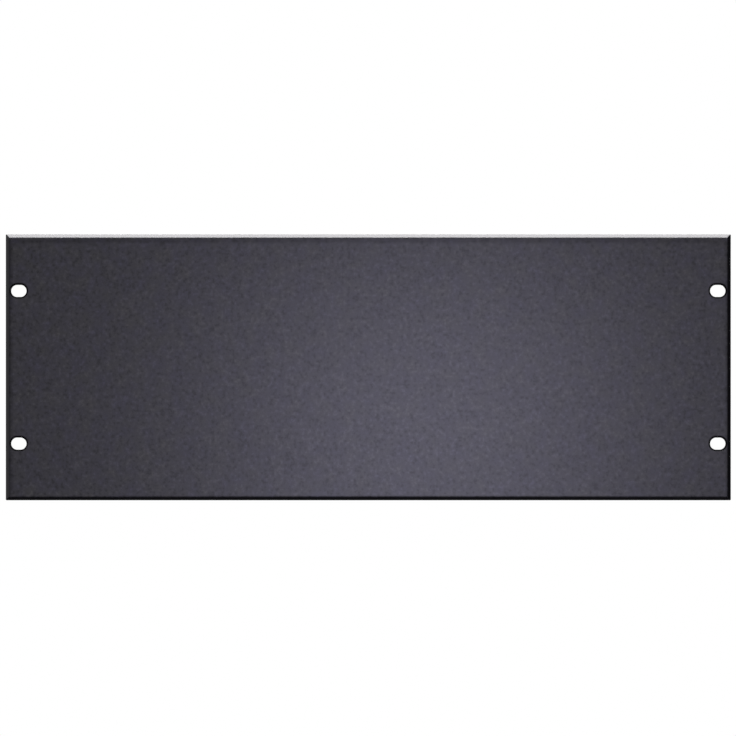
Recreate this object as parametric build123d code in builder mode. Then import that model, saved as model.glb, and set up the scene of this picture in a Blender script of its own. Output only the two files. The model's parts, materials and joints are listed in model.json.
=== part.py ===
from build123d import *

import os

# Blanking panel for a 19 inch rack: one flat plate, bevelled all round its front,
# with a slot near each corner for the rack screws.
# Millimetres. +Z is up, +X is to the right seen from the front, the front faces -Y.
# The back face lies on the plane Y = 0 and seats on the rack rails, and the origin
# is the centre of the slot pattern on that face.

# Height: the panel fills a whole number of rack units, less a clearance so that
# it doesn't rub on the panels above and below it.
unit_height = 44.45
units_filled = 4
stacking_clearance = 0.8

panel_width = 482.6
plate_thickness = 3.175

# Bevel at 45 degrees round the front. It leaves a square land at the back of the
# plate, and the crease where it meets the front face is blended by a larger radius.
land_depth = 0.8
crease_radius = 1.2

# Small radii: the four outline corners with the mitres that run in from them,
# the edge of the back face, and the rims of the slots.
corner_radius = 0.6
back_edge_radius = 0.25
slot_rim_radius = 0.6

# Screw slots, long side level, so that the panel can shift sideways on rails that
# stand a little apart. Each sits this far in from the panel's end and from the
# end of the rack space that the panel fills.
slot_length = 10.3
slot_height = 8.0
slot_from_panel_end = 8.75
slot_from_space_end = 38.1

# Worked out from the sizes above
rack_space = units_filled * unit_height
panel_height = rack_space - stacking_clearance
bevel = plate_thickness - land_depth
slot_pitch_x = panel_width - 2 * slot_from_panel_end
slot_pitch_z = rack_space - 2 * slot_from_space_end

with BuildPart() as panel:
    # Flat plate, drawn on the back plane and grown forwards
    with BuildSketch(Plane.XZ):
        Rectangle(panel_width, panel_height)
    extrude(amount=plate_thickness)

    # Bevel on all four front edges, mitred at the corners
    front_face = panel.faces().sort_by(Axis.Y)[0]
    chamfer(front_face.outer_wire().edges(), length=bevel)

    # Soft crease between the front face and the bevels
    front_face = panel.faces().sort_by(Axis.Y)[0]
    fillet(front_face.outer_wire().edges(), radius=crease_radius)

    # Outline corners: of the straight edges, all that don't run along the panel's
    # sides, which are the short square edges of the land and the sloping mitres
    straight = panel.edges().filter_by(GeomType.LINE)
    corner_edges = straight - straight.filter_by(Axis.X) - straight.filter_by(Axis.Z)
    fillet(corner_edges, radius=corner_radius)

    # Edge where the land meets the back face
    back_face = panel.faces().sort_by(Axis.Y)[-1]
    fillet(back_face.outer_wire().edges(), radius=back_edge_radius)

    # Screw slots through the plate
    with BuildSketch(Plane.XZ):
        with GridLocations(slot_pitch_x, slot_pitch_z, 2, 2):
            SlotOverall(slot_length, slot_height)
    extrude(amount=plate_thickness, mode=Mode.SUBTRACT)

    # Broken rims at the front and back of every slot
    front_face = panel.faces().sort_by(Axis.Y)[0]
    back_face = panel.faces().sort_by(Axis.Y)[-1]
    slot_wires = front_face.inner_wires() + back_face.inner_wires()
    fillet([edge for wire in slot_wires for edge in wire.edges()], radius=slot_rim_radius)

panel.part.label = "panel"

os.makedirs("parts", exist_ok=True)
export_step(panel.part, "parts/panel.step")
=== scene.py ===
import json
import math

import bmesh
import bpy
import numpy as np
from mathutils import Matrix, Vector


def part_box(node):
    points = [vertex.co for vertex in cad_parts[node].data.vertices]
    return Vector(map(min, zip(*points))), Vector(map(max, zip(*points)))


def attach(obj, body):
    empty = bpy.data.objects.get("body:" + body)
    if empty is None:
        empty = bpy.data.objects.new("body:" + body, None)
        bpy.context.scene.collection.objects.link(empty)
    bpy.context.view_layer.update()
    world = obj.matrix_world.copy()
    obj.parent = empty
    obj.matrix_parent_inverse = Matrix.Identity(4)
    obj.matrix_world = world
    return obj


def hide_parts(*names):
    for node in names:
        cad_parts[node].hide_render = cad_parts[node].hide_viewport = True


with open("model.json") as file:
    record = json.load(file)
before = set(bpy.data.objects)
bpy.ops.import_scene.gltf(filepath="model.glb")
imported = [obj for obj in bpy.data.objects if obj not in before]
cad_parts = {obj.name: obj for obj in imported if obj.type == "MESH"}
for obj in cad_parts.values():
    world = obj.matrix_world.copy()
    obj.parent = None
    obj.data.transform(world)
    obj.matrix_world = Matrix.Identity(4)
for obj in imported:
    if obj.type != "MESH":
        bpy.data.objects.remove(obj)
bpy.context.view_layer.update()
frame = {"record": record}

MM = 0.001

# The panel as the frame gives it
low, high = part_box("panel")
half_width = (high.x - low.x) / 2
half_height = (high.z - low.z) / 2
thickness = high.y - low.y
slot_dims = next(mount["dims"] for mount in frame["record"]["mounts"] if mount["name"] == "rail_slots")
slot_x = slot_dims["spacing_x_mm"] * MM / 2
slot_z = slot_dims["spacing_y_mm"] * MM / 2
slot_radius = slot_dims["hole_r_mm"] * MM
slot_straight = slot_dims["slot_length_mm"] * MM / 2 - slot_radius

# Edge details, as in the solid; the crest between bevel and land is eased here as well
land_depth = 0.8 * MM
crease_radius = 1.2 * MM
crest_radius = 0.2 * MM
corner_radius = 0.6 * MM
back_edge_radius = 0.25 * MM
slot_rim_radius = 0.6 * MM

# The bevel is at 45 degrees. An arc that eases its edges starts this share of its
# radius away from the edge.
EASE = math.tan(math.radians(22.5))
bevel = thickness - land_depth
face_inset = bevel + crease_radius * EASE

# Mesh steps. A quarter of a slot's rim has as many as a quarter of its collar.
CREASE_STEPS = 8
CREST_STEPS = 4
BACK_EDGE_STEPS = 6
RIM_EASE_STEPS = 6
CORNER_STEPS = 8
RIM_ARC_STEPS = 18
RIM_STRAIGHT_STEPS = 2
COLLAR_STEPS = (RIM_ARC_STEPS + RIM_STRAIGHT_STEPS) // 2
COLLAR_ROWS = 3
COARSE_CELL = 10 * MM
WELD = 0.001 * MM

# Collar: the rectangle round each slot that its own ring of faces fills
collar_out = half_width - face_inset - slot_x
collar_in = 8 * MM
collar_half_height = 7 * MM


def spaced(start, end, cell):
    """Even steps from start to end, no longer than a cell."""
    return np.linspace(start, end, max(1, math.ceil((end - start) / cell)) + 1)


def face_lines(half_span, slot, before, beyond):
    """Grid lines across a flat face, mirrored about its middle.

    From `before` a slot's centre to `beyond` it they match the steps of its collar. Elsewhere they are
    coarse.
    """
    half = np.concatenate([
        spaced(0, slot - before, COARSE_CELL),
        np.linspace(slot - before, slot, COLLAR_STEPS + 1),
        np.linspace(slot, slot + beyond, COLLAR_STEPS + 1),
        spaced(slot + beyond, half_span, COARSE_CELL),
    ])
    half = half[np.concatenate([[True], np.diff(half) > WELD])]
    return np.concatenate([-half[:0:-1], half])


lines_x = face_lines(half_width - face_inset, slot_x, collar_in, collar_out)
lines_z = face_lines(half_height - face_inset, slot_z, collar_half_height, collar_half_height)


def grid(x, y, z, closed=False):
    """Points and quads of a surface given as arrays of rows and columns.

    Closed joins its last column to its first.
    """
    x, y, z = np.broadcast_arrays(x, y, z)
    index = np.arange(x.size).reshape(x.shape)
    if closed:
        index = np.concatenate([index, index[:, :1]], axis=1)
    quads = np.stack([index[:-1, :-1], index[1:, :-1], index[1:, 1:], index[:-1, 1:]], axis=-1)
    return np.stack([x, y, z], axis=-1).reshape(-1, 3), quads.reshape(-1, 4)


def arc(inset, depth, radius, start, end, steps):
    """Section rows on an arc: the centre (inset, depth) less radius times (sine, cosine) of the turn.

    At a turn of 0 degrees the surface looks out of the front, at 90 out of the side, at 180 out of the back.
    """
    turn = np.radians(np.linspace(start, end, steps + 1))
    return np.stack([inset - radius * np.sin(turn), depth - radius * np.cos(turn)])


def edge_section():
    """Rows of the panel's edge from front to back: inset from the outline, depth, and corner radius.

    They run over the crease, the straight bevel, the crest, the land, the back edge and a flat strip of the
    back face. The corner radius opens from nothing across the crease, follows the offset of the back edge,
    and closes on the back face.
    """
    crease = arc(face_inset, crease_radius - thickness, crease_radius, 0, 45, CREASE_STEPS)
    crest = arc(crest_radius, crest_radius * EASE - land_depth, crest_radius, 45, 90, CREST_STEPS)
    back = arc(back_edge_radius, -back_edge_radius, back_edge_radius, 90, 180, BACK_EDGE_STEPS)
    strip = np.array([[face_inset], [0.0]])
    inset, depth = np.concatenate([crease, crest, back, strip], axis=1)
    radius = np.concatenate([
        corner_radius * np.sqrt(np.linspace(0, 1, crease.shape[1])),
        np.full(crest.shape[1], corner_radius),
        corner_radius - back[0],
        [0.0],
    ])
    return inset[:, None], depth[:, None], radius[:, None]


def panel_edge():
    """The edge section carried round the outline.

    Each column has a target point and an outward turn. It lies at the target, held within the corner centres,
    plus the corner radius times the outward direction. An infinite target is as far as the outline goes.
    """
    far = np.inf
    corners = [(far, far), (-far, far), (-far, -far), (far, -far)]
    sides = [
        (lines_x[-2:0:-1], far),
        (-far, lines_z[-2:0:-1]),
        (lines_x[1:-1], -far),
        (far, lines_z[1:-1]),
    ]
    columns = []
    for number in range(4):
        turn = np.linspace(90, 180, CORNER_STEPS + 1) + 90 * (number - 1)
        columns.append(np.stack(np.broadcast_arrays(*corners[number], turn)))
        columns.append(np.stack(np.broadcast_arrays(*sides[number], turn[-1])))
    target_x, target_z, turn = np.concatenate(columns, axis=1)
    inset, depth, radius = edge_section()
    reach_x = half_width - inset - radius
    reach_z = half_height - inset - radius
    x = np.clip(target_x, -reach_x, reach_x) + radius * np.cos(np.radians(turn))
    z = np.clip(target_z, -reach_z, reach_z) + radius * np.sin(np.radians(turn))
    return grid(x, depth, z, closed=True)


def panel_face(depth):
    """A flat face on its grid lines, without the cells that the slots' collars fill."""
    x, z = np.meshgrid(lines_x, lines_z)
    points, quads = grid(x, depth, z)
    middle = points[quads].mean(axis=1)
    off_x = np.abs(middle[:, 0]) - slot_x
    off_z = np.abs(np.abs(middle[:, 2]) - slot_z)
    in_collar = (off_x > -collar_in) & (off_x < collar_out) & (off_z < collar_half_height)
    used, quads = np.unique(quads[~in_collar], return_inverse=True)
    return points[used], quads.reshape(-1, 4)


def slot_ring(offset):
    """Points once round a slot, this far into the metal.

    Each is an end's centre plus (radius + offset) times a direction. Steps along the ring turn the direction
    on the end arcs, and move the centre from one end to the other between them.
    """
    arc_end = RIM_ARC_STEPS
    side_end = arc_end + 2 * RIM_STRAIGHT_STEPS
    far_arc_end = side_end + 2 * RIM_ARC_STEPS
    far_side_end = far_arc_end + 2 * RIM_STRAIGHT_STEPS
    knots = [0, arc_end, side_end, far_arc_end, far_side_end, far_side_end + arc_end]
    step = np.arange(knots[-1])
    turn = np.radians(np.interp(step, knots, [0, 90, 90, 270, 270, 360]))
    centre = slot_straight * np.interp(step, knots, [1, 1, -1, -1, 1, 1])
    return centre + (slot_radius + offset) * np.cos(turn), (slot_radius + offset) * np.sin(turn)


def place_slot(x, y, z, side, level):
    """A closed grid made about a slot's centre, moved to the slot on this side and level of the panel."""
    return grid(side * (slot_x + x), y, level * slot_z + z, closed=True)


def slot_wall(side, level):
    """Section of eased front rim, straight wall and eased back rim, carried round the slot."""
    front = arc(slot_rim_radius, slot_rim_radius - thickness, slot_rim_radius, 0, 90, RIM_EASE_STEPS)
    back = arc(slot_rim_radius, -slot_rim_radius, slot_rim_radius, 90, 180, RIM_EASE_STEPS)
    offset, depth = np.concatenate([front, back], axis=1)[:, :, None]
    x, z = slot_ring(offset)
    return place_slot(x, depth, z, side, level)


def slot_collar(side, level, depth):
    """Flat faces from a slot's rim to its collar rectangle: a straight blend from one to the other."""
    rim_x, rim_z = slot_ring(slot_rim_radius)
    # Middles and corners of the rectangle's sides, once round from the middle of the outer one
    knots = np.arange(9) * COLLAR_STEPS
    step = np.arange(knots[-1])
    out, back = collar_out, -collar_in
    box_x = np.interp(step, knots, [out, out, 0, back, back, back, 0, out, out])
    box_z = collar_half_height * np.interp(step, knots, [0, 1, 1, 1, 0, -1, -1, -1, 0])
    share = np.linspace(0, 1, COLLAR_ROWS + 1)[:, None]
    x = rim_x + (box_x - rim_x) * share
    z = rim_z + (box_z - rim_z) * share
    return place_slot(x, depth, z, side, level)


def smooth_normals(mesh):
    """Normals of the points: the sum of the area vectors of the faces round each; straight on the flats."""
    count = len(mesh.vertices)
    corner_vertex = np.empty(len(mesh.loops), int)
    mesh.loops.foreach_get("vertex_index", corner_vertex)
    corners = np.empty(len(mesh.polygons), int)
    mesh.polygons.foreach_get("loop_total", corners)
    area = np.empty(len(mesh.polygons))
    mesh.polygons.foreach_get("area", area)
    facing = np.empty(3 * len(mesh.polygons))
    mesh.polygons.foreach_get("normal", facing)
    weighted = facing.reshape(-1, 3) * area[:, None]
    normals = np.zeros((count, 3))
    np.add.at(normals, corner_vertex, np.repeat(weighted, corners, axis=0))
    place = np.empty(3 * count)
    mesh.vertices.foreach_get("co", place)
    depth = place.reshape(-1, 3)[:, 1]
    normals[np.abs(depth + thickness) < WELD] = (0, -1, 0)
    normals[np.abs(depth) < WELD] = (0, 1, 0)
    return normals / np.linalg.norm(normals, axis=1, keepdims=True)


def linked(name, points, quads):
    """A new object in the scene from points and quads."""
    mesh = bpy.data.meshes.new(name)
    mesh.from_pydata(points.tolist(), [], quads.tolist())
    piece = bpy.data.objects.new(name, mesh)
    bpy.context.scene.collection.objects.link(piece)
    return piece


def coated_panel():
    """The whole panel as one closed skin: surfaces that share their seams, welded, and facing outwards."""
    surfaces = [panel_edge(), panel_face(-thickness), panel_face(0.0)]
    for side in (-1, 1):
        for level in (-1, 1):
            surfaces.append(slot_wall(side, level))
            surfaces.append(slot_collar(side, level, -thickness))
            surfaces.append(slot_collar(side, level, 0.0))
    points = np.concatenate([surface[0] for surface in surfaces])
    starts = np.cumsum([0] + [len(surface[0]) for surface in surfaces[:-1]])
    quads = np.concatenate([surface[1] + start for surface, start in zip(surfaces, starts)])
    piece = linked("coated_panel", points, quads)
    shell = bmesh.new()
    shell.from_mesh(piece.data)
    bmesh.ops.remove_doubles(shell, verts=shell.verts, dist=WELD)
    bmesh.ops.recalc_face_normals(shell, faces=shell.faces)
    shell.to_mesh(piece.data)
    shell.free()
    piece.data.shade_smooth()
    piece.data.normals_split_custom_set_from_vertices(smooth_normals(piece.data))
    return piece


class Socket:
    """An output of a node. Arithmetic on it adds Math nodes to its tree."""

    def __init__(self, tree, output=None):
        self.tree = tree
        self.output = output

    def node(self, kind, settings, inputs, output=0):
        """Adds a node, sets its settings, gives each input a value or a link, and returns one output."""
        made = self.tree.nodes.new("ShaderNode" + kind)
        for name, value in settings.items():
            setattr(made, name, value)
        for name, value in inputs.items():
            if isinstance(value, Socket):
                self.tree.links.new(value.output, made.inputs[name])
            else:
                made.inputs[name].default_value = value
        return Socket(self.tree, made.outputs[output] if made.outputs else None)

    def math(self, operation, *values):
        """Adds a Math node on these values."""
        return self.node("Math", {"operation": operation}, dict(enumerate(values)))

    def __add__(self, other):
        return self.math("ADD", self, other)

    def __sub__(self, other):
        return self.math("SUBTRACT", self, other)

    def __rsub__(self, other):
        return self.math("SUBTRACT", other, self)

    def __mul__(self, other):
        return self.math("MULTIPLY", self, other)

    def __abs__(self):
        return self.math("ABSOLUTE", self)

    __radd__ = __add__
    __rmul__ = __mul__


def new_tree(owner):
    """Empties the node tree of a new material or world, and returns a start for its sockets."""
    owner.use_nodes = True
    owner.node_tree.nodes.clear()
    return Socket(owner.node_tree)


def grain(start, size, detail):
    """Noise of about this grain size in metres, from 0 to 1. Detail is how many finer layers it has."""
    place = start.node("TexCoord", {}, {}, "Object")
    return start.node("TexNoise", {}, {"Vector": place, "Scale": 1 / size, "Detail": detail}, "Fac")


def pebbles(start, size):
    """Rounded bumps of about this size in metres, 1 at their tops."""
    place = start.node("TexCoord", {}, {}, "Object")
    cells = start.node("TexVoronoi", {"feature": "SMOOTH_F1"}, {
        "Vector": place,
        "Scale": 1 / size,
        "Smoothness": PEBBLE_BLEND,
    }, "Distance")
    return 1 - cells


def colour_mix(start, share, first, second):
    """One colour to another by a share from 0 to 1.

    Among the node's sockets for numbers, vectors and colours, inputs 6 and 7 and output 2 are for colours.
    """
    return start.node("Mix", {"data_type": "RGBA"}, {"Factor": share, 6: first, 7: second}, 2)


def stretched(start, value, low_end, high_end):
    """The part of a value between two ends, stretched to the whole way from 0 to 1."""
    ends = {"From Min": low_end, "From Max": high_end}
    return start.node("MapRange", {}, {"Value": value, **ends}, "Result")


def fade_out(start, value, near, far):
    """1 up to a near value, 0 past a far one, and smooth between."""
    return start.node("MapRange", {"interpolation_type": "SMOOTHSTEP"}, {
        "Value": value,
        "From Min": near,
        "From Max": far,
        "To Min": 1.0,
        "To Max": 0.0,
    }, "Result")


# Powder coat. Its pits are darker and rougher than its tops, and it drifts from a cool to a warm black.
# On the bevels it is smoother, and painted darker as shade. Along the creases and round the slots' rims,
# painted shade mixes in a dull near black.
PITS_AND_BEVEL_SHADE = (0.0040, 0.0038, 0.0046, 1)
COAT_COOL = (0.0225, 0.0211, 0.0300, 1)
COAT_WARM = (0.0262, 0.0250, 0.0245, 1)
PAINTED_SHADE_COLOUR = (0.0005, 0.0005, 0.0006, 1)
COAT_TINT = (0.97, 0.95, 0.98, 1)
COAT_SPECULAR = 0.225
PAINTED_SHADE_SPECULAR = 0.03
ROUGH_TOPS = 0.375
ROUGH_PITS = 0.405
PAINTED_SHADE_ROUGH = 0.6

# Texture: the size of each kind of grain, the detail of its noise, and its part in the height
TEXTURE_DEPTH = 0.03 * MM
FINE_SIZE = 0.4 * MM
FINE_DETAIL = 3
FINE_PART = 0.3
PEBBLE_SIZE = 1.3 * MM
PEBBLE_BLEND = 0.7
PEBBLE_PART = 0.3
SPECK_SIZE = 2.2 * MM
SPECK_DETAIL = 1.5
SPECK_ENDS = (0.25, 0.75)
SPECK_CALM = 0.25
SPECK_BURST = 2.4
SPECK_PART = 0.3
DRIFT_SIZE = 9 * MM
DRIFT_DETAIL = 2
DRIFT_ENDS = (0.3, 0.7)
DRIFT_PART = 0.15

# The painted shade on the bevels, and the bevels' smoother coat, are full up to one line and gone past
# another.
# Both are measured inwards from where the bevel would meet the face without its soft crease.
BEVEL_SHADE_TO = -0.8 * MM
BEVEL_SHADE_GONE = 0.5 * MM
SMOOTH_TO = 0.5 * MM
SMOOTH_GONE = 1.2 * MM

# Painted shade: a dark line along the left crease, a wider band beside all four creases, and a dark ring
# round each slot's rim. A share says how dark the line and the band get. Their middle lies a little inwards
# from the same place. They stay that dark up to one distance from it, and are gone past another. The ring on
# a slot's rim is measured from the slot's outline in the same way.
LINE_SHARE = 0.42
LINE_GONE = 1.5 * MM
MITRE_BLEND = 0.3 * MM
BAND_SHARE = 0.25
BAND_GONE = 2.6 * MM
BAND_DOWN = 1.5 * MM
BAND_RIGHT = 0.6 * MM
SHADE_IN = 0.5 * MM
SHADE_TO = 0.2 * MM
RIM_TO = 0.8 * MM
RIM_GONE = 1.5 * MM
RIM_UP = 0.2 * MM


def painted_shade_mask(start, inset, front, x, z):
    """1 where shade is painted round the slots' rims, less along the left crease, least in a wide band.

    The line lies just inside the crease, where the left end is nearer than the top and bottom edges. The
    band follows the crease on all four sides, but lies a little below it and to its right. A slot's rim is
    where the distance from the line between the centres of its ends is its radius, and the shaded ring sits
    a little high.
    """
    left = fade_out(start, half_width + x - half_height + abs(z), -MITRE_BLEND, MITRE_BLEND)
    line = LINE_SHARE * left * fade_out(start, abs(inset - bevel - SHADE_IN), SHADE_TO, LINE_GONE)
    end_inset = half_width - abs(x - BAND_RIGHT)
    band_inset = start.math("MINIMUM", end_inset, half_height - abs(z + BAND_DOWN))
    band = BAND_SHARE * fade_out(start, abs(band_inset - bevel - SHADE_IN), SHADE_TO, BAND_GONE)
    crease = front * start.math("MAXIMUM", line, band)
    along = start.math("MAXIMUM", abs(abs(x) - slot_x) - slot_straight, 0.0)
    across = abs(z - RIM_UP) - slot_z
    off_line = start.math("POWER", along * along + across * across, 0.5)
    rim = fade_out(start, off_line, slot_radius + RIM_TO, slot_radius + RIM_GONE)
    return start.math("MAXIMUM", crease, rim)


def powder_coat():
    """Fine textured black powder coat, satin: pebbled grain, sparse specks and a slow drift of hue.

    The noise of the specks is bent so that most of it stays near its middle: a part of the offset from the
    middle plus a part of the offset times its own size. Inset is the distance in from the nearest outline,
    and front is 1 before the land. The bevels have no texture, and are painted as dark as the pits, as shade.
    """
    material = bpy.data.materials.new("powder_coat")
    start = new_tree(material)
    place = start.node("TexCoord", {}, {}, "Object")
    x, depth, z = (start.node("SeparateXYZ", {}, {"Vector": place}, axis) for axis in "XYZ")
    inset = start.math("MINIMUM", half_width - abs(x), half_height - abs(z))
    front = fade_out(start, depth, -land_depth, -land_depth / 2)
    smooth = front * fade_out(start, inset, bevel + SMOOTH_TO, bevel + SMOOTH_GONE)
    # Painted shade: the bevels, and the face just beside them, are darkened to the pits' colour.
    painted_bevel_shade = front * fade_out(start, inset, bevel + BEVEL_SHADE_TO, bevel + BEVEL_SHADE_GONE)
    offset = stretched(start, grain(start, SPECK_SIZE, SPECK_DETAIL), *SPECK_ENDS) - 0.5
    specks = 0.5 + SPECK_CALM * offset + SPECK_BURST * offset * abs(offset)
    drift = stretched(start, grain(start, DRIFT_SIZE, DRIFT_DETAIL), *DRIFT_ENDS)
    texture = (
        PEBBLE_PART * pebbles(start, PEBBLE_SIZE)
        + FINE_PART * grain(start, FINE_SIZE, FINE_DETAIL)
        + SPECK_PART * specks
        + DRIFT_PART * drift
    )
    relief = 1 - smooth
    bump = start.node("Bump", {}, {"Distance": TEXTURE_DEPTH, "Height": texture * relief}, "Normal")
    tops = colour_mix(start, drift, COAT_COOL, COAT_WARM)
    tone = colour_mix(start, specks, PITS_AND_BEVEL_SHADE, tops)
    coat = start.node("BsdfPrincipled", {}, {
        # Painted shade darkens the base colour on the bevels.
        "Base Color": colour_mix(start, painted_bevel_shade, tone, PITS_AND_BEVEL_SHADE),
        "Roughness": ROUGH_PITS - (ROUGH_PITS - ROUGH_TOPS) * specks * relief,
        "Specular IOR Level": COAT_SPECULAR,
        "Specular Tint": COAT_TINT,
        "Normal": bump,
    })
    # A dull near-black coat, mixed in as painted shade along the creases and round the slots' rims.
    shade_coat = start.node("BsdfPrincipled", {}, {
        "Base Color": PAINTED_SHADE_COLOUR,
        "Roughness": PAINTED_SHADE_ROUGH,
        "Specular IOR Level": PAINTED_SHADE_SPECULAR,
    })
    # Painted shade: how much of the near-black coat is mixed in.
    shade_share = painted_shade_mask(start, inset, front, x, z)
    both = start.node("MixShader", {}, {"Fac": shade_share, 1: coat, 2: shade_coat})
    start.node("OutputMaterial", {}, {"Surface": both})
    return material


panel = coated_panel()
panel.data.materials.append(powder_coat())
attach(panel, "root")
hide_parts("panel")

# Studio
WHITE = (1, 1, 1, 1)
BLACK = (0, 0, 0, 1)
ROOM_LOW = (0.14, 0.14, 0.14, 1)
ROOM_HIGH = (0.66, 0.66, 0.67, 1)


def studio_world():
    """White where the camera, gloss or glass looks past the object, and a dimmer top-lit room for the rest.

    The room's share goes from 0 straight down to 1 straight up.
    """
    world = bpy.data.worlds.new("studio")
    start = new_tree(world)
    kinds = ("Camera", "Glossy", "Transmission")
    camera_ray, glossy, through = (start.node("LightPath", {}, {}, f"Is {kind} Ray") for kind in kinds)
    clamped_sum = {"operation": "ADD", "use_clamp": True}
    direct = start.node("Math", clamped_sum, {0: camera_ray + glossy, 1: through})
    way = start.node("TexCoord", {}, {}, "Generated")
    height = start.node("SeparateXYZ", {}, {"Vector": way}, "Z")
    room = colour_mix(start, 0.5 + 0.5 * height, ROOM_LOW, ROOM_HIGH)
    light = start.node("Background", {}, {"Color": room})
    white = start.node("Background", {}, {"Color": WHITE})
    both = start.node("MixShader", {}, {"Fac": direct, 1: light, 2: white})
    start.node("OutputWorld", {}, {"Surface": both})
    bpy.context.scene.world = world


FLOOR_LEVEL = -0.35
FLOOR_RADIUS = 1.4
FLOOR_COLOUR = (0.85, 0.85, 0.86, 1)
FLOOR_LIFT = 0.3
FLOOR_FADE_FROM = 0.6 * FLOOR_RADIUS
FLOOR_FADE_TO = 0.97 * FLOOR_RADIUS


def studio_floor():
    """A pale floor well below the panel, which hangs in the air. It fades out in a circle, and from below.

    The camera sees it a little lifted towards the white of the background.
    """
    ends = np.array([[-FLOOR_RADIUS, FLOOR_RADIUS]])
    floor = linked("floor", *grid(ends, -ends.T, FLOOR_LEVEL))
    material = bpy.data.materials.new("floor")
    start = new_tree(material)
    place = start.node("TexCoord", {}, {}, "Object")
    out = start.node("VectorMath", {"operation": "LENGTH"}, {0: place}, "Value")
    near = fade_out(start, out, FLOOR_FADE_FROM, FLOOR_FADE_TO)
    under = start.node("NewGeometry", {}, {}, "Backfacing")
    pale = start.node("BsdfDiffuse", {}, {"Color": FLOOR_COLOUR})
    seen = start.node("LightPath", {}, {}, "Is Camera Ray")
    lift = colour_mix(start, seen, BLACK, WHITE)
    glow = start.node("Emission", {}, {"Color": lift, "Strength": FLOOR_LIFT})
    lifted = start.node("AddShader", {}, {0: pale, 1: glow})
    clear = start.node("BsdfTransparent", {}, {})
    both = start.node("MixShader", {}, {"Fac": near * (1 - under), 1: clear, 2: lifted})
    start.node("OutputMaterial", {}, {"Surface": both})
    floor.data.materials.append(material)


def black_flag(name, x, y, z):
    """A flat black card that only gloss sees, so that the bevel that faces it looks black."""
    card = linked(name, *grid(x, y, z))
    card.visible_camera = False
    card.visible_diffuse = False
    card.visible_shadow = False
    card.visible_transmission = False
    material = bpy.data.materials.new(name)
    start = new_tree(material)
    black = start.node("BsdfDiffuse", {}, {"Color": BLACK})
    start.node("OutputMaterial", {}, {"Surface": black})
    card.data.materials.append(material)


studio_world()
studio_floor()

# Flags beside the right end and under the bottom edge, from a little before the panel to behind it
FLAG_AWAY = 80 * MM
FLAG_FRONT = -0.10
FLAG_BACK = 0.18
FLAG_HALF_WIDTH = 0.35
FLAG_HALF_HEIGHT = 0.25
flag_depth = np.array([[FLAG_FRONT, FLAG_BACK]])
both_ways = np.array([[-1], [1]])
black_flag("right_flag", half_width + FLAG_AWAY, flag_depth, FLAG_HALF_HEIGHT * both_ways)
black_flag("lower_flag", FLAG_HALF_WIDTH * both_ways, flag_depth, -half_height - FLAG_AWAY)

# Camera: square to the front face, on a long lens. The panel's middle and height are given in pixels.
PICTURE_PX = 736
CAMERA_DISTANCE = 3.3
CAMERA_REACH = 50
PANEL_MIDDLE_X_PX = 368.3
PANEL_MIDDLE_Y_PX = 367.3
PANEL_HEIGHT_PX = 266.1
SENSOR = 36
metres_a_pixel = 2 * half_height / PANEL_HEIGHT_PX
camera_data = bpy.data.cameras.new("camera")
camera_data.sensor_width = SENSOR
camera_data.lens = SENSOR * CAMERA_DISTANCE / (PICTURE_PX * metres_a_pixel)
camera_data.clip_end = CAMERA_REACH
camera = bpy.data.objects.new("camera", camera_data)
camera.location = (
    (PICTURE_PX / 2 - PANEL_MIDDLE_X_PX) * metres_a_pixel,
    -thickness - CAMERA_DISTANCE,
    (PANEL_MIDDLE_Y_PX - PICTURE_PX / 2) * metres_a_pixel,
)
camera.rotation_euler = (math.radians(90), 0, 0)
bpy.context.scene.collection.objects.link(camera)
bpy.context.scene.camera = camera


def soft_box(name, place, aim, size, watts, colour):
    """A rectangular soft light that shines from one point towards another and isn't seen itself."""
    lamp = bpy.data.lights.new(name, "AREA")
    lamp.shape = "RECTANGLE"
    lamp.size, lamp.size_y = size
    lamp.energy = watts
    lamp.color = colour
    box = bpy.data.objects.new(name, lamp)
    box.location = place
    box.rotation_euler = (Vector(aim) - Vector(place)).to_track_quat("-Z", "Y").to_euler()
    box.visible_camera = False
    bpy.context.scene.collection.objects.link(box)


# Main soft box near the camera's axis. The camera sees its reflection, a soft glow, at this place on
# the face.
KEY_DISTANCE = 0.6
KEY_SIZE = (0.23, 0.24)
KEY_WATTS = 2.03
KEY_COLOUR = (1.0, 0.985, 1.28)
GLOW_X = 42 * MM
GLOW_Z = -49 * MM
key_share = (KEY_DISTANCE + CAMERA_DISTANCE) / CAMERA_DISTANCE
key_x = GLOW_X * key_share
key_z = GLOW_Z * key_share
soft_box("key", (key_x, -KEY_DISTANCE, key_z), (key_x, 0, key_z), KEY_SIZE, KEY_WATTS, KEY_COLOUR)

# Strip box close above the top edge and behind it, so that only the top bevel reflects it
STRIP_ABOVE = 0.12
STRIP_BEHIND = 0.03
STRIP_SIZE = (0.60, 0.08)
STRIP_WATTS = 5.4
strip_place = (0, STRIP_BEHIND, half_height + STRIP_ABOVE)
soft_box("strip", strip_place, (0, STRIP_BEHIND, 0), STRIP_SIZE, STRIP_WATTS, WHITE[:3])

bpy.context.scene.view_settings.view_transform = "Standard"
